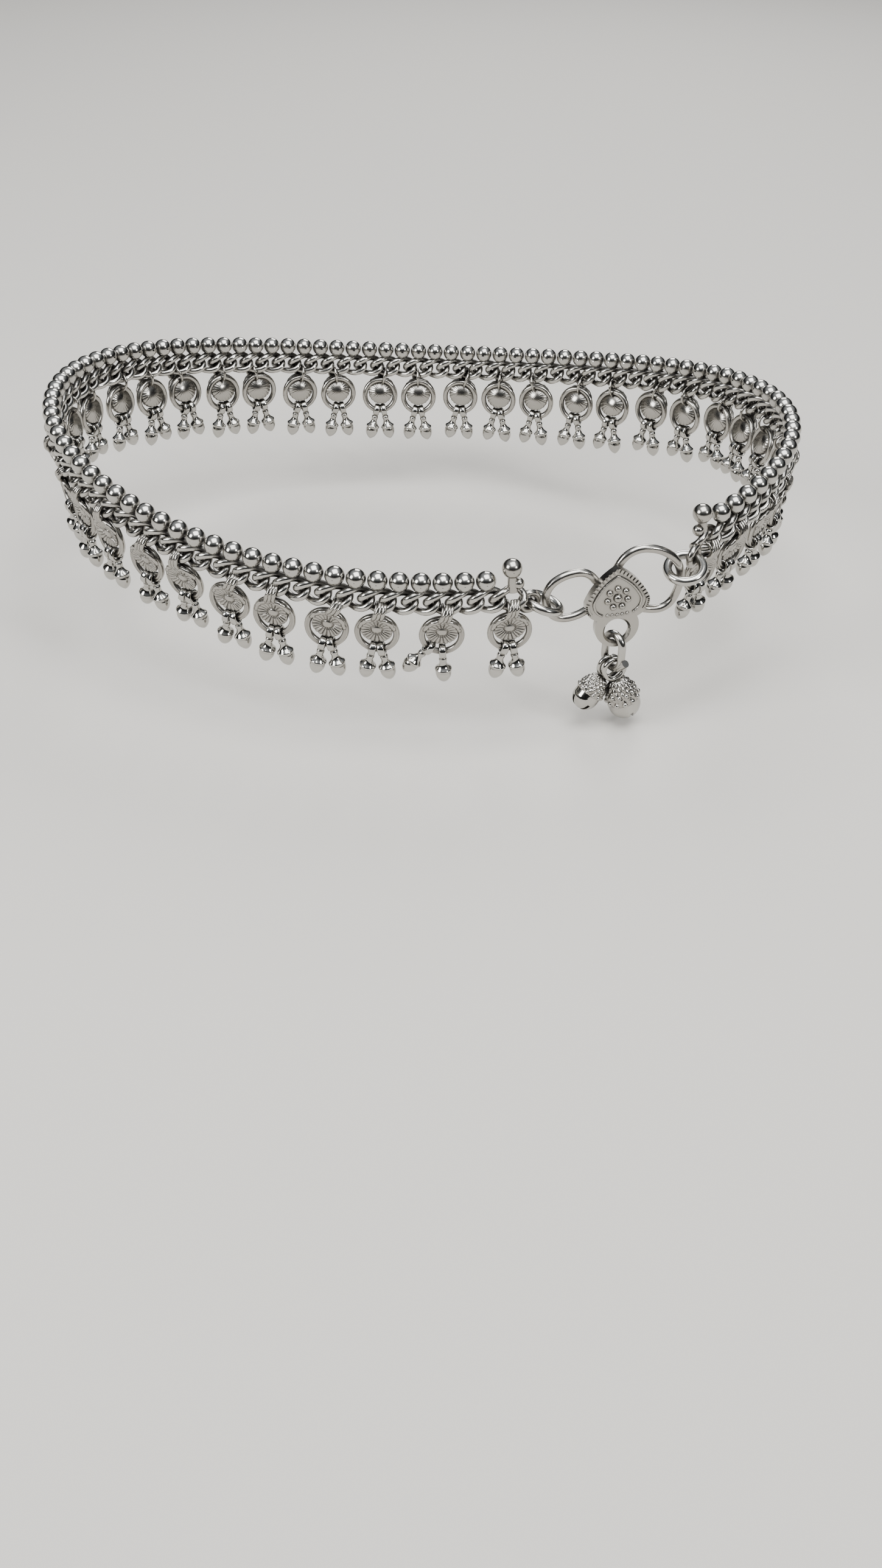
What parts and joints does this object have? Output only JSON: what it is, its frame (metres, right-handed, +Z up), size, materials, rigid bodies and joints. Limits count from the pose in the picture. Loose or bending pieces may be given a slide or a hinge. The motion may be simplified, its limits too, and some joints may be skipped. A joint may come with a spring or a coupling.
{
  "type": "anklet",
  "caption": "Silver anklet: a curb chain with a ball on every link, a fringe of round flower pendants with paired acorn drops, and an S-hook clasp with a leaf plate and two small bells.",
  "frame": {"origin": "the middle of the ankle opening, level with the chain at the middle of its near side", "axes": "+Z is up as worn, +X runs from the heel to the instep, and the near side with the clasp faces -Y"},
  "size_m": [0.0979, 0.0757, 0.0281],
  "materials": {
    "silver": "polished silver"
  },
  "bodies": {
    "anklet": {"acorn_drops_left": "silver", "acorn_drops_right": "silver", "ball_chain_left": "silver", "ball_chain_right": "silver", "end_piece_left": "silver", "end_piece_right": "silver", "jump_ring_left": "silver", "jump_ring_right": "silver", "rosette_pendant_01": "silver", "rosette_pendant_02": "silver", "rosette_pendant_03": "silver", "rosette_pendant_04": "silver", "rosette_pendant_05": "silver", "rosette_pendant_06": "silver", "rosette_pendant_07": "silver", "rosette_pendant_08": "silver", "rosette_pendant_09": "silver", "rosette_pendant_10": "silver", "rosette_pendant_11": "silver", "rosette_pendant_12": "silver", "rosette_pendant_13": "silver", "rosette_pendant_14": "silver", "rosette_pendant_15": "silver", "rosette_pendant_16": "silver", "rosette_pendant_17": "silver", "rosette_pendant_18": "silver", "rosette_pendant_19": "silver", "rosette_pendant_20": "silver", "rosette_pendant_21": "silver", "rosette_pendant_22": "silver", "rosette_pendant_23": "silver", "rosette_pendant_24": "silver", "rosette_pendant_25": "silver", "rosette_pendant_26": "silver", "rosette_pendant_27": "silver", "rosette_pendant_28": "silver", "rosette_pendant_29": "silver", "rosette_pendant_30": "silver", "rosette_pendant_31": "silver", "rosette_pendant_32": "silver", "rosette_pendant_33": "silver", "rosette_pendant_34": "silver", "rosette_pendant_35": "silver", "rosette_pendant_36": "silver", "rosette_pendant_37": "silver", "rosette_pendant_38": "silver", "rosette_pendant_39": "silver", "rosette_pendant_40": "silver", "s_hook_clasp": "silver"},
    "bell_drop": {"oval_link": "silver", "bell_left": "silver", "bell_right": "silver"}
  },
  "joints": [
    {"name": "drop_swing", "type": "hinge", "parent": "anklet", "child": "bell_drop", "pos_m": [0.02494, -0.03161, -0.00733], "axis": [-0.7624, -0.6471, 0], "range_deg": [-15, 50]}
  ]
}
